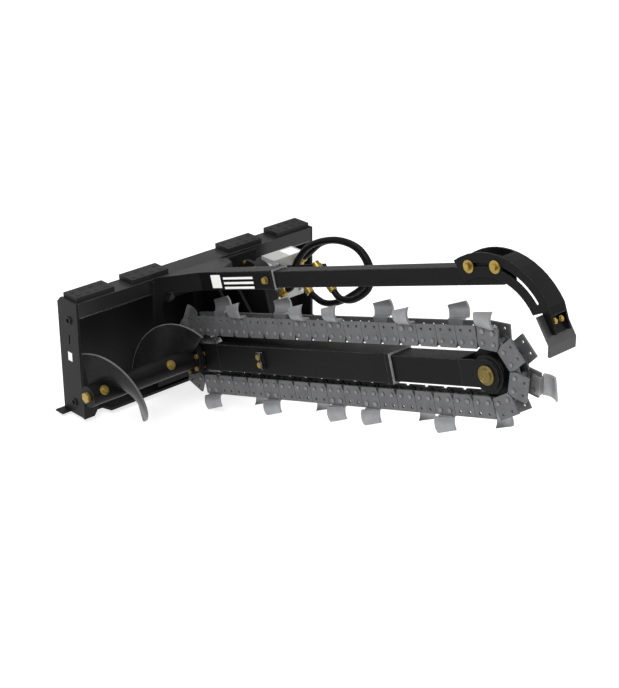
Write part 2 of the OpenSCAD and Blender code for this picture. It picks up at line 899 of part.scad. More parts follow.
// Curved cutting plate bolted to the inside of a link plate and stepped out over its edge.
module tooth() {
    curl_r = 46;
    flare = 9;
    difference() {
        union() {
            slab(plate_x - foot_t - slip, plate_x - slip) polygon([
                [-30, link_bolt_z - 10], [30, link_bolt_z - 10], [30, plate_out + 5],
                [-30, plate_out + 5],
            ]);
            slab(plate_x - foot_t - slip, plate_face + foot_t) polygon([
                [-30, plate_out + 0.5], [30, plate_out + 0.5], [30, plate_out + 6],
                [-30, plate_out + 6],
            ]);
            intersection() {
                translate([plate_face + foot_t - tooth_t, 0, plate_out + 3 + tooth_h / 2])
                    rotate([0, 0, flare]) rotate([90, 0, 0]) difference() {
                        translate([-curl_r + 14 + tooth_t, 0, 0])
                            cylinder(h = tooth_len, r = curl_r, center = true);
                        translate([-curl_r + 14, 0, 0])
                            cylinder(h = tooth_len + 2, r = curl_r - 1, center = true);
                    }
                slab(-10, plate_face + 40) polygon([
                    [-tooth_len, plate_out + 3], [tooth_len, plate_out + 3],
                    [tooth_len, plate_out + tooth_h - 12], [-tooth_len, plate_out + tooth_h + 14],
                ]);
            }
        }
        for (y = [-link_bolt_y, link_bolt_y]) translate([0, y, link_bolt_z])
            rod(plate_x - foot_t - 1, plate_x + 1, link_bolt_r + 0.2);
    }
}

module near_teeth() {
    color("#a2a5a9") for (i = near_links) if (i < loop_links) at_link(i) mirror([1, 0, 0]) tooth();
}

module far_teeth() {
    color("#a2a5a9") for (i = far_links) if (i < loop_links) at_link(i) tooth();
}

module tooth_bolt() {
    for (y = [-link_bolt_y, link_bolt_y]) translate([0, y, link_bolt_z]) {
        rod(plate_x - foot_t - 6, plate_face + 1, link_bolt_r, $fn = 16);
        rod(plate_face, plate_face + 3, 8, $fn = 16);
        hex_head(plate_x - foot_t - 6, plate_x - foot_t - slip, 8);
    }
}

module tooth_bolts() {
    color("#8b8e92") {
        for (i = near_links) if (i < loop_links) at_link(i) mirror([1, 0, 0]) tooth_bolt();
        for (i = far_links) if (i < loop_links) at_link(i) tooth_bolt();
    }
}

// ---- head shaft and auger ----

auger_x0 = -95;
auger_x1 = 366;
flange_r = 58;
flange_bolt_r = 48;
shaft_end = 752;

module head_shaft() {
    color("#b4b7ba") at_head() rod(auger_x1 - 60, shaft_end, shaft_r);
}

// Spins with the head shaft, so it has room to turn inside the chain's straps.
module drive_sprocket() {
    color("#5d6064") framed() translate([boom_x, -head_y, head_z]) rotate([sprocket_turn, 0, 0])
        difference() {
            union() {
                sprocket(-12, 12, sprocket_teeth, wrap_r, roller_r + 1.2, 1, 1);
                rod(-half + bearing_w + 1, half - bearing_w - 1, 44);
            }
            rod(-half, half, shaft_r + fit);
        }
}

// Turn that brings the sprocket's gaps to the chain's rollers.
sprocket_turn = -boom_pitch + chain_shift * wrap_step;

module hub_flange() {
    color("#1c1c1e") at_head() difference() {
        union() {
            rod(auger_x1, auger_x1 + 12, flange_r);
            rod(auger_x1 + 12, boom_x - half - 1, 34);
        }
        rod(auger_x1 - 1, boom_x, shaft_r + fit);
        flange_spots() rod(auger_x1 - 1, auger_x1 + 13, 5.1);
    }
}

module flange_spots() {
    for (i = [0 : 5]) rotate([i * 60, 0, 0]) translate([0, 0, flange_bolt_r]) children();
}

// Axes of the two bolts that lock the sleeve's sections, on the side away from the frame.
module sleeve_bolt_axes() {
    for (x = [-50, 240]) translate([x, 0, 0]) rotate([55, 0, 0]) children();
}

module auger_sleeve() {
    color("#1c1c1e") at_head() difference() {
        union() {
            rod(auger_x0, auger_x1, sleeve_r);
            rod(auger_x1 - 12, auger_x1, flange_r);
            sleeve_bolt_axes() cylinder(h = sleeve_r + 4, r = 18);
        }
        rod(auger_x0 + 10, auger_x1 + 1, sleeve_r - 6);
        rod(auger_x0 - 1, auger_x0 + 11, 12);
        flange_spots() rod(auger_x1 - 13, auger_x1 + 1, 5.1);
    }
}

// One screw blade on the sleeve, from x0 over the angles a0 to a1 measured from the back.
module flight(x0, a0, a1) {
    steps = 24;
    blade = 7;
    inner = sleeve_r + 0.2;
    turn = (a1 - a0) / steps;
    points = [
        for (i = [0 : steps]) let (a = a0 + i * turn, x = x0 + flight_lead * (a - a0) / 360)
            each [
                for (q = [[x, inner], [x, flight_r], [x + blade, flight_r], [x + blade, inner]])
                    [q[0], q[1] * cos(a), q[1] * sin(a)]
            ]
    ];
    faces = [for (i = [0 : steps - 1], k = [0 : 3]) each [
        [i * 4 + k, i * 4 + (k + 1) % 4, (i + 1) * 4 + (k + 1) % 4],
        [i * 4 + k, (i + 1) * 4 + (k + 1) % 4, (i + 1) * 4 + k],
    ]];
    ends = [[3, 2, 1, 0], [for (k = [0 : 3]) steps * 4 + k]];
    polyhedron(points, concat(faces, ends), convexity = 6);
}

module auger_flights() {
    color("#1c1c1e") at_head() {
        flight(-80, 72, 250);
        flight(200, -16, 128);
    }
}

module auger_bolts() {
    color("#c9a24a") at_head() {
        flange_spots() {
            rod(auger_x1 - 16, auger_x1 + 16, 5);
            hex_head(auger_x1 - 19, auger_x1 - 12, 9);
            hex_head(auger_x1 + 12, auger_x1 + 19, 9);
        }
        sleeve_bolt_axes() translate([0, 0, sleeve_r + 4]) {
            cylinder(h = 4, r = 17);
            translate([0, 0, 4]) cylinder(h = 9, r = 11, $fn = 6);
        }
        rod(auger_x0 - 12, auger_x0 + 10, 11.9);
        hex_head(auger_x0 - 12, auger_x0, 20);
    }
}

// ---- boom extension and tail ----

module boom_inner_tube() {
    end_plate_t = 10;
    color("#232325") on_boom() difference() {
        union() {
            square_tube(inner_start, nose_start, inner_w, tube_t);
            box([-inner_half + 2, -inner_start - end_plate_t, -inner_half + 2],
                [inner_half - 2, -inner_start, inner_half - 2]);
            box([-inner_half + 2, -nose_start, -inner_half + 2],
                [inner_half - 2, -nose_start + end_plate_t, inner_half - 2]);
        }
        translate([0, -inner_start + 1, 0]) rotate([90, 0, 0]) cylinder(h = 30, r = 12.1);
    }
}

// Side plates that carry the tail axle.
module nose_cheeks() {
    color("#1c1c1e") on_boom() for (side = [0, 1]) mirror([side, 0, 0]) difference() {
        union() {
            slab(cheek_in, cheek_in + cheek_t) {
                translate([-boom_len, 0]) circle(r = nose_r);
                translate([-boom_len, -inner_half]) square([boom_len - nose_start, 2 * inner_half]);
            }
            translate([0, -boom_len, 0]) rod(cheek_in + cheek_t, half, 48);
        }
        translate([0, -boom_len, 0]) rod(cheek_in - 1, half + 1, axle_r + fit);
    }
}

module tension_screw() {
    color("#9a9da1") on_boom() {
        translate([0, -392, 0]) rotate([90, 0, 0]) cylinder(h = inner_start - 392 + 10, r = 12);
        translate([0, -432, 0]) rotate([90, 0, 0]) cylinder(h = 20, r = 22, $fn = 6);
    }
}

module tail_axle() {
    color("#b4b7ba") on_boom() translate([0, -boom_len, 0]) rod(-half - 2, half + 2, axle_r);
}

module tail_cap() {
    color("#c9a24a") on_boom() for (side = [0, 1]) mirror([side, 0, 0]) translate([0, -boom_len, 0])
        difference() {
            union() {
                rod(half, half + 5, 31);
                rod(half + 5, half + 8, 20);
            }
            rod(half - 1, half + 2 + fit, axle_r + fit);
        }
}

module tail_roller() {
    color("#232325") on_boom() translate([0, -boom_len, 0]) difference() {
        rod(-15, 15, idler_r, $fn = 96);
        rod(-16, 16, bearing_r + fit);
    }
}

module tail_bearings() {
    color("#5d6064") on_boom() translate([0, -boom_len, 0]) difference() {
        rod(-cheek_in + 1, cheek_in - 1, bearing_r);
        rod(-cheek_in, cheek_in, axle_r + fit);
    }
}

// ---- nodes ----

back_plate();
top_rail();
end_plates();
bottom_flange();
foot_gussets();
carrier_lip();
step_plates();
blank_label();
carriage_plate();
clamp_blocks();
clamp_bolts();
support_gussets();
shaft_housing();
boom_head_cheeks();
boom_outer_tube();
adjuster_tab();
boom_bolts();
head_bearings();
drive_case();
case_cover();
case_bolts();
drive_chain();
hydraulic_motor();
hose_fittings();
coupler_holder();
couplers();
pressure_hose();
return_hose();
crumber_bracket();
crumber_outer_tube();
crumber_lock_bolt();
chain_outer_plates();
chain_straps();
chain_pins();
chain_rollers();
near_teeth();
far_teeth();
tooth_bolts();
head_shaft();
drive_sprocket();
driven_sprocket();
hub_flange();
auger_sleeve();
auger_flights();
auger_bolts();
motor_shaft();
motor_sprocket();
boom_inner_tube();
nose_cheeks();
tension_screw();
tail_axle();
tail_cap();
tail_roller();
tail_bearings();
crumber_inner_tube();
beam_bolts();
beam_washers();
crumber_beam();
crumber_shoe();
shoe_bolts();
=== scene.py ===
import math
import bpy
from mathutils import Matrix, Vector


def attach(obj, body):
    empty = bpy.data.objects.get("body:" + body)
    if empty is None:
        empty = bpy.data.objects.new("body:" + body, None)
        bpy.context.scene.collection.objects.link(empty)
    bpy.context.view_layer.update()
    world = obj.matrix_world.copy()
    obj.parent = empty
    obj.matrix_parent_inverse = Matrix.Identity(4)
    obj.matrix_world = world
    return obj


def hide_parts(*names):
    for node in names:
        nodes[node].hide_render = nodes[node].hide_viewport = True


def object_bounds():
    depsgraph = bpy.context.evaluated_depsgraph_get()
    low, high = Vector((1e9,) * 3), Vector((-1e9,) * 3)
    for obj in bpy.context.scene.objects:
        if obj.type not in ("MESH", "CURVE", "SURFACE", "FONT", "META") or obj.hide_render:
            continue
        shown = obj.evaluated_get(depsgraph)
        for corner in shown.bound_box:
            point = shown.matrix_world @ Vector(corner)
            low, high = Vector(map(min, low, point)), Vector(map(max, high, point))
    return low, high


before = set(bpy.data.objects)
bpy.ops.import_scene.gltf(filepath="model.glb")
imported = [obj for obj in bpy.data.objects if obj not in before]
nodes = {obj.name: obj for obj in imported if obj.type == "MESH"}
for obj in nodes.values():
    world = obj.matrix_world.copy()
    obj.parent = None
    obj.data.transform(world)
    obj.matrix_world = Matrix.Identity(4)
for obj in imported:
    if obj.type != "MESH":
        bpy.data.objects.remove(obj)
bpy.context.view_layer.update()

scene = bpy.context.scene

# The machine is measured in millimetres along the frame, back from its front and up from its foot.
measure = {"along": 560, "back": 86, "up": 220}
headShaft = {"y": -176, "z": 180}
motorShaft = {"y": -116, "z": 372}
armLine = {"start": (436, 0, 412), "rise": 17.3, "half": 32.5}
boomLine = {"start": (436, -176, 180), "rise": 16.3, "half": 49, "length": 1428}


def partPoint(x, y, z):
    return Vector((x - measure["along"], y - measure["back"], z - measure["up"])) / 1000


def lineFrame(line):
    turn = Matrix.Rotation(-math.radians(line["rise"]), 4, "X")
    return Matrix.Translation(partPoint(*line["start"])) @ turn


armFrame = lineFrame(armLine)
boomFrame = lineFrame(boomLine)
headFrame = Matrix.Translation(partPoint(0, headShaft["y"], headShaft["z"]))
# Turns a shape made along Z so that it runs along +X or -X.
alongX = Matrix.Rotation(math.radians(90), 4, "Y")
alongMinusX = Matrix.Rotation(math.radians(-90), 4, "Y")


def shift(x, y, z):
    return Matrix.Translation(Vector((x, y, z)) / 1000)


# The camera stands off the near front corner, with a long lens.
camera = {"place": (-3.5720, -4.5433, 2.4944), "down": 24.30, "heading": 46.52, "lens": 87.12,
          "shift": (-0.0299, -0.0100)}


def makeCamera():
    data = bpy.data.cameras.new("viewCamera")
    data.lens = camera["lens"]
    data.sensor_width = 36
    data.shift_x, data.shift_y = camera["shift"]
    data.clip_end = 200
    holder = bpy.data.objects.new("viewCamera", data)
    holder.location = camera["place"]
    tilt, heading = math.radians(90 - camera["down"]), math.radians(camera["heading"] - 90)
    holder.rotation_euler = (tilt, 0, heading)
    scene.collection.objects.link(holder)
    scene.camera = holder
    print("camera placed")


makeCamera()


# Wraps a socket, so that shader maths reads as plain sums.
class Value:
    def __init__(self, tree, socket):
        self.tree = tree
        self.socket = socket

    def join(self, operation, first, second=0.0, third=0.0, clamp=False):
        node = self.tree.nodes.new("ShaderNodeMath")
        node.operation = operation
        node.use_clamp = clamp
        for place, item in enumerate((first, second, third)):
            if isinstance(item, Value):
                self.tree.links.new(item.socket, node.inputs[place])
            else:
                node.inputs[place].default_value = item
        return Value(self.tree, node.outputs[0])

    def __add__(self, other): return self.join("ADD", self, other)
    def __radd__(self, other): return self.join("ADD", other, self)
    def __sub__(self, other): return self.join("SUBTRACT", self, other)
    def __rsub__(self, other): return self.join("SUBTRACT", other, self)
    def __mul__(self, other): return self.join("MULTIPLY", self, other)
    def __rmul__(self, other): return self.join("MULTIPLY", other, self)
    def __truediv__(self, other): return self.join("DIVIDE", self, other)
    def __pow__(self, other): return self.join("POWER", self, other)
    def held(self): return self.join("ADD", self, 0.0, clamp=True)
    def ramp(self, low, high): return ((self - low) / (high - low)).held()


class Finish:
    def __init__(self, name, **constants):
        self.material = bpy.data.materials.new(name)
        self.material.use_nodes = True
        self.tree = self.material.node_tree
        self.tree.nodes.clear()
        self.shader = self.tree.nodes.new("ShaderNodeBsdfPrincipled")
        output = self.tree.nodes.new("ShaderNodeOutputMaterial")
        self.tree.links.new(self.shader.outputs[0], output.inputs[0])
        for socket, amount in constants.items():
            self.shader.inputs[socket].default_value = amount
        self.place = self.node("ShaderNodeTexCoord", output="Object")

    def node(self, kind, settings=None, inputs=None, output=0):
        node = self.tree.nodes.new(kind)
        for key, value in (settings or {}).items():
            setattr(node, key, value)
        for socket, value in (inputs or {}).items():
            if isinstance(value, Value):
                self.tree.links.new(value.socket, node.inputs[socket])
            else:
                node.inputs[socket].default_value = value
        return Value(self.tree, node.outputs[output])

    def noise(self, scale, detail=3.0, roughness=0.5, where=None):
        return self.node("ShaderNodeTexNoise", None, {"Vector": where or self.place, "Scale": scale,
                                                      "Detail": detail, "Roughness": roughness})

    def mixed(self, amount, first, second):
        node = self.tree.nodes.new("ShaderNodeMix")
        node.data_type = "RGBA"
        for socket, value in ((0, amount), (6, first), (7, second)):
            if isinstance(value, Value):
                self.tree.links.new(value.socket, node.inputs[socket])
            else:
                node.inputs[socket].default_value = value if socket == 0 else (*value, 1.0)
        return Value(self.tree, node.outputs[2])

    # Rounded edges: the bevelled normal, and how far it is from the flat one.
    def edges(self, radius):
        rounded = self.node("ShaderNodeBevel", {"samples": 4}, {"Radius": radius})
        flat = self.node("ShaderNodeNewGeometry", output="True Normal")
        facing = self.tree.nodes.new("ShaderNodeVectorMath")
        facing.operation = "DOT_PRODUCT"
        self.tree.links.new(rounded.socket, facing.inputs[0])
        self.tree.links.new(flat.socket, facing.inputs[1])
        return rounded, (1.0 - Value(self.tree, facing.outputs["Value"])).ramp(0.01, 0.14)

    def upward(self):
        normal = self.node("ShaderNodeNewGeometry", output="Normal")
        return self.node("ShaderNodeSeparateXYZ", None, {0: normal}, 2)

    def part(self, axis):
        return self.node("ShaderNodeSeparateXYZ", None, {0: self.place}, axis)

    def feed(self, socket, value):
        self.tree.links.new(value.socket, self.shader.inputs[socket])

    def bump(self, height, distance, normal=None):
        inputs = {"Height": height, "Distance": distance, "Strength": 1.0}
        if normal:
            inputs["Normal"] = normal
        self.feed("Normal", self.node("ShaderNodeBump", None, inputs))


# Half width, in metres, of the painted highlight strip where a tube ends.
highlightStripHalf = 0.002


# Painted steel: fine orange peel, a little dust on what faces up, edges a shade lighter, partly
# rubbed paint and partly a painted highlight.
# A painted highlight: a thin bright strip where a tube ends, at a distance along its line.
def paintFinish(name, tone, dust, edge, rough, level=0.12, radius=0.0012, line=None, end=0):
    finish = Finish(name, **{"Specular IOR Level": level})
    rounded, rim = finish.edges(radius)
    cloud = finish.noise(5.0, 4.0)
    grain = finish.noise(90.0, 3.0)
    settled = finish.upward().ramp(0.3, 1.0) * cloud.ramp(0.3, 0.75)
    body = finish.mixed(cloud.ramp(0.35, 0.7) * 0.6, tone, [part * 1.35 for part in tone])
    dusty = finish.mixed(settled, body, dust)
    # Lighter edges: partly rubbed paint, partly a painted highlight along every edge.
    worn = rim * grain.ramp(0.3, 0.6)
    if line:
        back = math.cos(math.radians(line["rise"])), math.sin(math.radians(line["rise"]))
        origin = partPoint(*line["start"])
        along = (finish.part(1) - origin.y) * -back[0] + (finish.part(2) - origin.z) * back[1]
        # Painted highlight: a thin bright band where the tube ends, standing in for light caught by
        # its end rim.
        highlightStrip = (1.0 - ((along - end / 1000) ** 2.0) / highlightStripHalf ** 2).held()
        dusty = finish.mixed(highlightStrip * grain.ramp(0.25, 0.5), dusty, (0.42, 0.42, 0.42))
    finish.feed("Base Color", finish.mixed(worn, dusty, edge))
    finish.feed("Roughness", rough + (grain - 0.5) * 0.12 + settled * 0.1)
    finish.bump(finish.noise(420.0, 2.0) * 0.5 + grain * 0.5, 0.00003, rounded)
    return finish.material


# Bare or plated metal with rolled grain and darker blotches, near-black nearer than a plane of X.
def metalFinish(name, tone, shade, edge, rough, metallic, darkBelowX=None, radius=0.0008):
    finish = Finish(name, **{"Metallic": metallic, "Specular IOR Level": 0.5})
    rounded, rim = finish.edges(radius)
    blotch = finish.noise(18.0, 5.0, 0.6)
    grain = finish.noise(120.0, 4.0, 0.65)
    body = finish.mixed(blotch.ramp(0.35, 0.68) * 0.7 + grain.ramp(0.4, 0.8) * 0.3, tone, shade)
    # Lighter edges: partly bare worn metal, partly a painted highlight along every edge.
    bare = finish.mixed(rim * 0.8, body, edge)
    if darkBelowX is not None:
        # Near-black, with no metal, where X is below the given plane.
        darkened = finish.part(0).ramp(darkBelowX + 0.001, darkBelowX)
        bare = finish.mixed(darkened, bare, (0.012, 0.012, 0.012))
        finish.feed("Metallic", metallic * (1.0 - darkened))
    finish.feed("Base Color", bare)
    finish.feed("Roughness", (rough + (grain - 0.5) * 0.22 + (blotch - 0.5) * 0.12).held())
    finish.bump(grain, 0.00006, rounded)
    return finish.material


# Satin paint on the screw blades, polished by soil at their outer edge.
bladeWear = {"from": 0.1462, "to": 0.1488, "wander": 0.004}


def bladeFinish(name):
    finish = Finish(name, **{"Specular IOR Level": 0.13})
    grain = finish.noise(25.0, 2.0)
    centre = headFrame.translation
    apart, above = finish.part(1) - centre.y, finish.part(2) - centre.z
    reach = (apart * apart + above * above) ** 0.5
    worn = (reach + (grain - 0.5) * bladeWear["wander"]).ramp(bladeWear["from"], bladeWear["to"])
    body = finish.mixed(grain.ramp(0.3, 0.8), (0.0065, 0.0065, 0.007), (0.011, 0.011, 0.0115))
    finish.feed("Base Color", finish.mixed(worn * 0.5, body, (0.2, 0.2, 0.2)))
    finish.feed("Roughness", 0.27 + (grain - 0.5) * 0.08)
    finish.bump(finish.noise(40.0), 0.00002)
    return finish.material


def rubberFinish(name):
    finish = Finish(name, **{"Specular IOR Level": 0.07, "Coat Roughness": 0.2})
    grain = finish.noise(160.0, 3.0)
    cloud = finish.noise(9.0, 3.0)
    finish.feed("Base Color", finish.mixed(cloud, (0.003, 0.003, 0.003), (0.008, 0.008, 0.008)))
    finish.feed("Roughness", 0.36 + (grain - 0.5) * 0.12 + cloud * 0.06)
    finish.feed("Coat Weight", 0.01 + cloud * 0.02)
    finish.bump(grain, 0.0001)
    return finish.material


def labelFinish(name):
    finish = Finish(name, **{"Specular IOR Level": 0.4})
    cloud = finish.noise(30.0, 3.0)
    fleck = finish.noise(400.0, 2.0)
    stain = cloud * 0.5 + fleck * 0.2
    finish.feed("Base Color", finish.mixed(stain, (0.88, 0.88, 0.87), (0.74, 0.74, 0.73)))
    finish.feed("Roughness", 0.38 + fleck * 0.15)
    finish.bump(fleck, 0.00003)
    return finish.material


finishes = {
    "frame": paintFinish("framePaint", (0.0075, 0.0075, 0.008), (0.02, 0.02, 0.021),
                         (0.09, 0.09, 0.09), 0.42, 0.13),
    "rail": paintFinish("railPaint", (0.009, 0.009, 0.0095), (0.028, 0.028, 0.029),
                        (0.12, 0.12, 0.12), 0.3, 0.3),
    "boom": paintFinish("boomPaint", (0.004, 0.004, 0.0043), (0.014, 0.014, 0.0147),
                        (0.09, 0.09, 0.09), 0.4, 0.09),
    # The boom and arm tubes get a wide painted edge highlight and a painted highlight strip where the
    # outer tube ends.
    "boomTube": paintFinish("boomTubePaint", (0.004, 0.004, 0.0043), (0.014, 0.014, 0.0147),
                            (0.06, 0.06, 0.06), 0.4, 0.08, 0.007, boomLine, 1019),
    "armTube": paintFinish("armTubePaint", (0.004, 0.004, 0.0043), (0.014, 0.014, 0.0147),
                           (0.06, 0.06, 0.06), 0.4, 0.08, 0.007, armLine, 610),
    "innerTube": paintFinish("innerTubePaint", (0.004, 0.004, 0.0043), (0.013, 0.013, 0.0137),
                             (0.06, 0.06, 0.06), 0.42, 0.08, 0.006),
    "tread": paintFinish("treadPaint", (0.011, 0.011, 0.0115), (0.03, 0.03, 0.031), (0.1, 0.1, 0.1),
                         0.55, 0.2),
    "shoe": paintFinish("shoePaint", (0.03, 0.03, 0.032), (0.06, 0.06, 0.062), (0.2, 0.2, 0.2), 0.4,
                        0.4),
    "motor": paintFinish("motorPaint", (0.3, 0.31, 0.3), (0.44, 0.44, 0.43), (0.55, 0.55, 0.54),
                         0.4, 0.45),
    # The tab's bright edge colour is a painted highlight line.
    "tab": paintFinish("tabPaint", (0.01, 0.01, 0.0105), (0.02, 0.02, 0.021), (0.5, 0.5, 0.5), 0.4,
                       0.3, 0.002),
    "chain": metalFinish("chainSteel", (0.115, 0.117, 0.12), (0.08, 0.081, 0.084),
                         (0.24, 0.24, 0.24), 0.5, 0.3),
    "rivet": metalFinish("rivetSteel", (0.19, 0.19, 0.195), (0.13, 0.13, 0.133), (0.3, 0.3, 0.3),
                         0.4, 0.4),
    "tooth": metalFinish("toothSteel", (0.3, 0.303, 0.31), (0.2, 0.202, 0.206), (0.5, 0.5, 0.5),
                         0.4, 0.5),
    "bright": metalFinish("brightSteel", (0.5, 0.5, 0.51), (0.32, 0.32, 0.33), (0.65, 0.65, 0.65),
                          0.3, 0.9),
    "gold": metalFinish("goldZinc", (0.38, 0.27, 0.065), (0.24, 0.165, 0.04), (0.5, 0.38, 0.14),
                        0.36, 0.8),
    "cap": metalFinish("capZinc", (0.17, 0.125, 0.035), (0.11, 0.08, 0.022), (0.3, 0.23, 0.09),
                       0.36, 0.8),
    "lip": metalFinish("lipSteel", (0.12, 0.12, 0.122), (0.07, 0.07, 0.072), (0.2, 0.2, 0.2), 0.26,
                       0.8),
    # The clamp bolts are near-black for X below 0, so the nearer bolt shows dark.
    "clampBolt": metalFinish("clampBoltZinc", (0.38, 0.27, 0.065), (0.24, 0.165, 0.04),
                             (0.5, 0.38, 0.14), 0.36, 0.8, 0.0),
    "blade": bladeFinish("bladePaint"),
    "rubber": rubberFinish("hoseRubber"),
    "label": labelFinish("labelVinyl"),
}
print("finishes made:", len(finishes))

# The finish of each CAD piece.
finishOf = {
    "rail": ["top_rail"],
    "frame": ["back_plate", "end_plates", "bottom_flange", "foot_gussets", "carrier_lip",
              "carriage_plate", "clamp_blocks", "support_gussets", "shaft_housing", "drive_case",
              "case_cover", "coupler_holder"],
    "boom": ["boom_head_cheeks", "nose_cheeks", "tail_roller", "crumber_bracket", "crumber_beam",
             "hub_flange", "auger_sleeve"],
    "boomTube": ["boom_outer_tube"],
    "armTube": ["crumber_outer_tube"],
    "innerTube": ["boom_inner_tube", "crumber_inner_tube"],
    "tab": ["adjuster_tab"],
    "tread": ["step_plates"],
    "shoe": ["crumber_shoe"],
    "motor": ["hydraulic_motor"],
    "chain": ["chain_outer_plates", "chain_straps", "chain_pins", "chain_rollers"],
    "tooth": ["near_teeth", "far_teeth"],
    "bright": ["head_shaft", "tail_axle", "motor_shaft", "tension_screw", "head_bearings",
               "tail_bearings", "driven_sprocket", "motor_sprocket", "drive_sprocket", "drive_chain"],
    "rivet": ["tooth_bolts"],
    "clampBolt": ["clamp_bolts"],
    "gold": ["boom_bolts", "case_bolts", "hose_fittings", "couplers", "crumber_lock_bolt",
             "auger_bolts", "tail_cap", "beam_bolts", "beam_washers", "shoe_bolts"],
    "blade": ["auger_flights"],
    "rubber": ["pressure_hose", "return_hose"],
    "label": ["blank_label"],
}


def dress(piece, finish):
    piece.data.materials.clear()
    piece.data.materials.append(finishes[finish])


for finish, names in finishOf.items():
    for name in names:
        for place in nodes[name].material_slots:
            place.material = finishes[finish]
print("frame dressed")


def deselect():
    if bpy.context.mode != "OBJECT":
        bpy.ops.object.mode_set(mode="OBJECT")
    bpy.ops.object.select_all(action="DESELECT")


def pick(*pieces):
    deselect()
    for piece in pieces:
        piece.select_set(True)
    bpy.context.view_layer.objects.active = pieces[0]


def editAll(piece):
    pick(piece)
    bpy.ops.object.mode_set(mode="EDIT")
    bpy.ops.mesh.select_all(action="SELECT")


def settle(piece, where=None):
    if where is not None:
        piece.matrix_world = where @ piece.matrix_world
    pick(piece)
    bpy.ops.object.transform_apply(location=True, rotation=True, scale=True)


def soften(piece, width, segments=2, angle=30):
    bevel = piece.modifiers.new("soften", "BEVEL")
    bevel.width = width
    bevel.segments = segments
    bevel.limit_method = "ANGLE"
    bevel.angle_limit = math.radians(angle)
    bevel.harden_normals = False
    pick(piece)
    bpy.ops.object.modifier_apply(modifier=bevel.name)
    bpy.ops.object.shade_smooth_by_angle(angle=math.radians(32))


# A turned shape along Z from a list of (height, radius) in millimetres.
def turned(name, profile, sides=48):
    deselect()
    height, radius = profile[0]
    bpy.ops.mesh.primitive_circle_add(vertices=sides, radius=radius / 1000, fill_type="NGON",
                                      location=(0, 0, height / 1000))
    piece = bpy.context.object
    piece.name = name
    settle(piece)
    editAll(piece)
    for nextHeight, nextRadius in profile[1:]:
        bpy.ops.mesh.extrude_region_move(
            TRANSFORM_OT_translate={"value": (0, 0, (nextHeight - height) / 1000)})
        if nextRadius != radius:
            bpy.ops.transform.resize(value=(nextRadius / radius, nextRadius / radius, 1))
        height, radius = nextHeight, nextRadius
    bpy.ops.mesh.select_all(action="SELECT")
    bpy.ops.mesh.normals_make_consistent(inside=False)
    bpy.ops.object.mode_set(mode="OBJECT")
    return piece


# A block between two corners in millimetres.
def block(name, low, high):
    deselect()
    bpy.ops.mesh.primitive_cube_add(size=1)
    piece = bpy.context.object
    piece.name = name
    piece.scale = [(b - a) / 1000 for a, b in zip(low, high)]
    piece.location = [(a + b) / 2000 for a, b in zip(low, high)]
    settle(piece)
    return piece


# Copies a piece to each place, each with its own mesh, and joins them.
def copies(piece, places):
    made = []
    for place in places:
        other = piece.copy()
        other.data = piece.data.copy()
        scene.collection.objects.link(other)
        other.matrix_world = place @ piece.matrix_world
        made.append(other)
    name = piece.name
    bpy.data.objects.remove(piece)
    return joined(name, made)


def joined(name, pieces):
    pick(*pieces)
    bpy.ops.object.join()
    result = bpy.context.object
    result.name = name
    settle(result)
    return result


def finishUp(piece, finish, body):
    dress(piece, finish)
    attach(piece, body)
    return piece


# The hoses run from the motor to the couplers. The radius is in metres, the routes in millimetres.
hoses = {
    "radius": 0.012,
    "bend": 8,
    "unionTilt": 50,
    "couplerTilt": 130,
    "ports": [(812, -84), (898, 22)],
    "couplers": [(796, -400, 455), (856, -215, 372)],
    "routes": [
        [(802, -244, 430), (800, -325, 535), (796, -460, 600), (796, -580, 605), (796, -645, 550),
         (796, -640, 470), (796, -570, 405), (796, -500, 385)],
        [(892, -300, 520), (882, -400, 556), (874, -500, 556), (868, -560, 510), (862, -555, 440),
         (858, -480, 370), (856, -410, 325), (856, -340, 305)],
    ],
}


def unionFrame(index):
    x, z = hoses["ports"][index]
    seat = partPoint(x, motorShaft["y"] - 34, motorShaft["z"] + z)
    return Matrix.Translation(seat) @ Matrix.Rotation(math.radians(hoses["unionTilt"]), 4, "X")


def couplerFrame(index):
    seat = partPoint(*hoses["couplers"][index])
    return Matrix.Translation(seat) @ Matrix.Rotation(math.radians(hoses["couplerTilt"]), 4, "X")


def between(a, b, c, d, t):
    return 0.5 * (2 * b + (c - a) * t + (2 * a - 5 * b + 4 * c - d) * t * t
                  + (3 * b - a - 3 * c + d) * t * t * t)


def smoothed(points, steps):
    last = len(points) - 1
    path = []
    for i in range(last):
        a, b = points[max(i - 1, 0)], points[i]
        c, d = points[i + 1], points[min(i + 2, last)]
        path += [between(a, b, c, d, k / steps) for k in range(steps)]
    return path + [points[last]]


def makeHose(name, index):
    start = [unionFrame(index) @ Vector((0, 0, reach)) for reach in (0.054, 0.090)]
    end = [couplerFrame(index) @ Vector((0, 0, reach)) for reach in (0.076, 0.040)]
    middle = [partPoint(*point) for point in hoses["routes"][index]]
    path = smoothed(start + middle + end, hoses["bend"])
    curve = bpy.data.curves.new(name, "CURVE")
    curve.dimensions = "3D"
    curve.bevel_depth = hoses["radius"]
    curve.bevel_resolution = 6
    curve.use_fill_caps = True
    spline = curve.splines.new("POLY")
    spline.points.add(len(path) - 1)
    for point, place in zip(spline.points, path):
        point.co = (*place, 1)
    piece = bpy.data.objects.new(name, curve)
    scene.collection.objects.link(piece)
    curve.materials.append(finishes["rubber"])
    length = sum((b - a).length for a, b in zip(path, path[1:]))
    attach(piece, "carriage")
    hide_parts(name[:-4] + "_hose")
    print(name, "length", round(length, 3))


# Swaged ferrules where a hose meets its union and its coupler, and knurled sleeves on the couplers.
ferrule = {"first": 31, "step": 6, "count": 4, "crest": 15.9, "groove": 15.1, "sides": 32,
           "couplerRise": 22}
sleeve = {"first": -29, "step": 5, "count": 5, "crest": 17.7, "groove": 17.2, "edge": 16.6,
          "sides": 40}


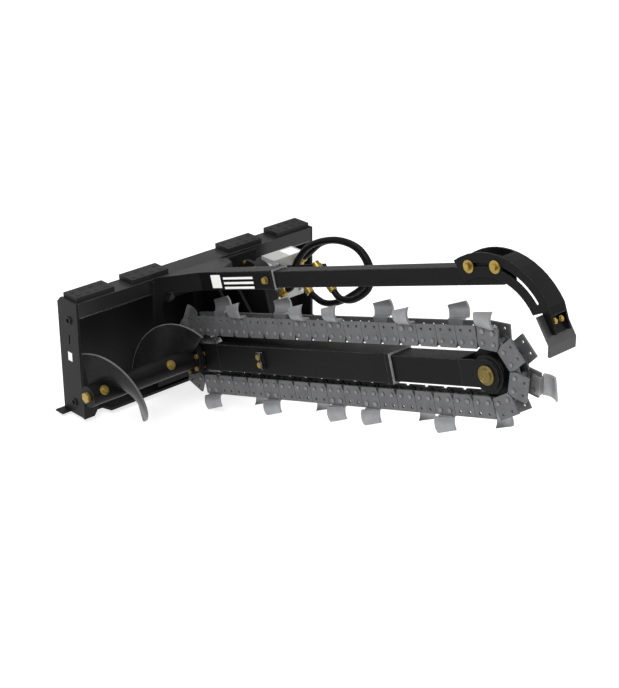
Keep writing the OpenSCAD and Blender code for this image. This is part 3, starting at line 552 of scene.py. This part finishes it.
def makeFerrules():
    crest, groove = ferrule["crest"], ferrule["groove"]
    rings = [(28, 14), (29, crest)]
    for step in range(ferrule["count"]):
        low = ferrule["first"] + step * ferrule["step"]
        rings += [(low, crest), (low + 1, groove), (low + 4, groove), (low + 5, crest)]
    rings += [(56, 15.6), (57, 14), (58, 12.1)]
    ends = [unionFrame(index) for index in (0, 1)]
    ends += [couplerFrame(index) @ shift(0, 0, ferrule["couplerRise"]) for index in (0, 1)]
    ferrules = copies(turned("hoseFerrules", rings, ferrule["sides"]), ends)
    finishUp(ferrules, "gold", "carriage")
    crest, groove = sleeve["crest"], sleeve["groove"]
    knurls = [(sleeve["first"] - 1, sleeve["edge"])]
    for step in range(sleeve["count"]):
        low = sleeve["first"] + step * sleeve["step"]
        knurls += [(low, crest), (low + 3, crest), (low + 3.6, groove), (low + 4.4, groove)]
    knurls += [(-4, groove), (-3.4, sleeve["edge"])]
    places = [couplerFrame(index) for index in (0, 1)]
    sleeves = copies(turned("couplerSleeves", knurls, sleeve["sides"]), places)
    finishUp(sleeves, "gold", "carriage")
    print("ferrules and sleeves made")


makeHose("pressureHose", 0)
makeHose("returnHose", 1)
makeFerrules()

# The screw blades, each swept from one blade section.
blades = {"lead": 350, "thick": 7, "inner": 36, "outer": 149.6, "perTurn": 90,
          "runs": [(-80, 72, 250), (200, -16, 128)]}


def makeBlades():
    made = []
    for start, first, last in blades["runs"]:
        sweep = last - first
        deselect()
        bpy.ops.mesh.primitive_plane_add(size=1)
        piece = bpy.context.object
        piece.scale = (blades["thick"] / 1000, (blades["outer"] - blades["inner"]) / 1000, 1)
        middle = (blades["outer"] + blades["inner"]) / 2
        piece.location = Vector((start + blades["thick"] / 2, middle, 0)) / 1000
        settle(piece)
        settle(piece, Matrix.Rotation(math.radians(first), 4, "X"))
        editAll(piece)
        bpy.ops.mesh.delete(type="ONLY_FACE")
        bpy.ops.object.mode_set(mode="OBJECT")
        screw = piece.modifiers.new("sweep", "SCREW")
        screw.axis = "X"
        screw.angle = math.radians(sweep)
        screw.screw_offset = blades["lead"] * sweep / 360000
        screw.steps = screw.render_steps = round(blades["perTurn"] * sweep / 360)
        bpy.ops.object.modifier_apply(modifier="sweep")
        editAll(piece)
        bpy.ops.mesh.fill_holes(sides=4)
        bpy.ops.mesh.select_all(action="SELECT")
        bpy.ops.mesh.normals_make_consistent(inside=False)
        bpy.ops.object.mode_set(mode="OBJECT")
        soften(piece, 0.0012, 2, 40)
        made.append(piece)
    blade = joined("augerBlades", made)
    settle(blade, headFrame)
    finishUp(blade, "blade", "head_drive")
    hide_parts("auger_flights")
    print("blades made:", len(made))


makeBlades()

# Riveted pin heads on both sides of the digging chain.
chain = {"pitch": 42, "run": 34, "wrap": 7, "shift": 0.77, "face": 32.2}
rivet = {"profile": [(0, 7.6), (1.1, 7.4), (2.1, 5.4), (2.6, 2.4)], "sides": 10}


def pinPlace(index):
    run, wrap, pitch = chain["run"], chain["wrap"], chain["pitch"]
    radius = pitch / 2 / math.sin(math.pi / wrap / 2)
    along = (index + chain["shift"]) % (2 * (run + wrap))
    if along < run:
        return -along * pitch, radius
    if along < run + wrap:
        turn = math.pi / 2 - (along - run) * math.pi / wrap
        return -boomLine["length"] - radius * math.cos(turn), radius * math.sin(turn)
    if along < 2 * run + wrap:
        return -boomLine["length"] + (along - run - wrap) * pitch, -radius
    turn = -math.pi / 2 - (along - 2 * run - wrap) * math.pi / wrap
    return -radius * math.cos(turn), radius * math.sin(turn)


def makeRivets():
    places = []
    for index in range(2 * (chain["run"] + chain["wrap"])):
        back, up = pinPlace(index)
        places.append(boomFrame @ shift(chain["face"], back, up) @ alongX)
        places.append(boomFrame @ shift(-chain["face"], back, up) @ alongMinusX)
    heads = copies(turned("pinHeads", rivet["profile"], rivet["sides"]), places)
    pick(heads)
    bpy.ops.object.shade_smooth_by_angle(angle=math.radians(50))
    finishUp(heads, "rivet", "carriage")
    print("pin heads", len(places))


makeRivets()

# Turned bearing caps at the boom's tip.
tailCap = {"sides": 64, "profile": [
    (0, 31), (3.8, 31), (4.9, 30), (4.9, 27), (3.9, 26.2), (3.9, 23.4), (4.9, 22.6), (4.9, 20),
    (7.2, 20), (7.9, 19.2), (7.9, 12.4), (6.7, 11.6), (6.7, 7.4), (7.9, 6.6), (7.9, 1),
]}


def makeTailCaps():
    tip = boomFrame @ shift(0, -boomLine["length"], 0)
    places = [tip @ shift(boomLine["half"], 0, 0) @ alongX,
              tip @ shift(-boomLine["half"], 0, 0) @ alongMinusX]
    caps = copies(turned("tailCaps", tailCap["profile"], tailCap["sides"]), places)
    pick(caps)
    bpy.ops.object.shade_smooth_by_angle(angle=math.radians(25))
    finishUp(caps, "cap", "boom_extension")
    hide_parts("tail_cap")
    print("tail caps made")


makeTailCaps()

# Cap screws on the motor's front, and the polished round lip under the rail.
trim = {"screw": [(0, 9), (2, 9), (2, 7), (9, 7), (9.8, 6.2)], "screwSides": 24,
        "screwSpots": [(804, 282), (918, 282), (804, 414), (918, 414)], "motorFront": -150,
        "lip": (6, 386, 6.2), "lipEnds": (15, 1105), "lipSides": 32}


def makeTrim():
    forward = Matrix.Rotation(math.pi / 2, 4, "X")
    spots = [Matrix.Translation(partPoint(x, trim["motorFront"], z)) @ forward
             for x, z in trim["screwSpots"]]
    screws = copies(turned("motorScrews", trim["screw"], trim["screwSides"]), spots)
    finishUp(screws, "bright", "carriage")
    back, up, radius = trim["lip"]
    near, far = trim["lipEnds"]
    long = far - near
    profile = [(0, radius - 1), (1, radius), (long - 1, radius), (long, radius - 1)]
    lip = turned("railLip", profile, trim["lipSides"])
    settle(lip, Matrix.Translation(partPoint(near, back, up)) @ alongX)
    pick(lip)
    bpy.ops.object.shade_smooth_by_angle(angle=math.radians(30))
    finishUp(lip, "lip", "frame")
    print("trim made")


makeTrim()

# Plain decals on the arm's near face and blank labels on the motor.
decals = {"thick": 0.5, "arm": [(-317, -25, -264, 22), (-497, 5, -333, 13), (-497, -12, -333, -4),
                                (-497, -29, -333, -21)],
          "motor": [((868, -146, 432.8), (926, -90, 433.5)),
                    ((785.5, -136, 392), (786.2, -98, 414))]}


def makeDecals():
    face = -armLine["half"]
    marks = []
    for back, low, front, high in decals["arm"]:
        mark = block("mark", (face - decals["thick"], back, low), (face + 0.3, front, high))
        settle(mark, armFrame)
        soften(mark, 0.0002, 1)
        marks.append(mark)
    finishUp(joined("armDecals", marks), "label", "carriage")
    blanks = []
    for low, high in decals["motor"]:
        blanks.append(block("blank", low, high))
        settle(blanks[-1], Matrix.Translation(partPoint(0, 0, 0)))
        soften(blanks[-1], 0.0002, 1)
    finishUp(joined("motorLabels", blanks), "label", "carriage")
    print("decals made")


makeDecals()

# A white floor that glows a little and three soft lights.
studio = {"floorSize": 80, "floorGap": 0.002, "world": 0.5, "floorGlow": 0.75,
          "lights": [
              {"name": "keyLight", "from": (-3.2, -2.0, 4.2), "size": 2.6, "power": 170},
              {"name": "fillLight", "from": (2.5, -4.5, 3.0), "size": 4.0, "power": 60},
              {"name": "topLight", "from": (0.0, 0.5, 5.0), "size": 3.0, "power": 110},
          ]}


def makeStudio():
    deselect()
    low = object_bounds()[0][2] - studio["floorGap"]
    bpy.ops.mesh.primitive_plane_add(size=studio["floorSize"], location=(0, 0, low))
    floor = bpy.context.object
    floor.name = "floor"
    settle(floor)
    paper = Finish("paper", **{"Specular IOR Level": 0.1, "Roughness": 0.9,
                               "Emission Color": (1, 1, 1, 1),
                               "Emission Strength": studio["floorGlow"]})
    cloud = paper.noise(0.6, 2.0)
    paper.feed("Base Color", paper.mixed(cloud, (0.5, 0.5, 0.5), (0.47, 0.47, 0.47)))
    floor.data.materials.append(paper.material)
    aim = Vector((0, -0.8, 0.1))
    for light in studio["lights"]:
        data = bpy.data.lights.new(light["name"], "AREA")
        data.size = light["size"]
        data.energy = light["power"]
        lamp = bpy.data.objects.new(light["name"], data)
        lamp.location = light["from"]
        lamp.rotation_euler = (aim - lamp.location).to_track_quat("-Z", "Y").to_euler()
        scene.collection.objects.link(lamp)
    world = bpy.data.worlds.new("studio")
    world.use_nodes = True
    world.node_tree.nodes["Background"].inputs[0].default_value = (1, 1, 1, 1)
    world.node_tree.nodes["Background"].inputs[1].default_value = studio["world"]
    scene.world = world
    scene.view_settings.view_transform = "Standard"
    print("studio lit")


makeStudio()
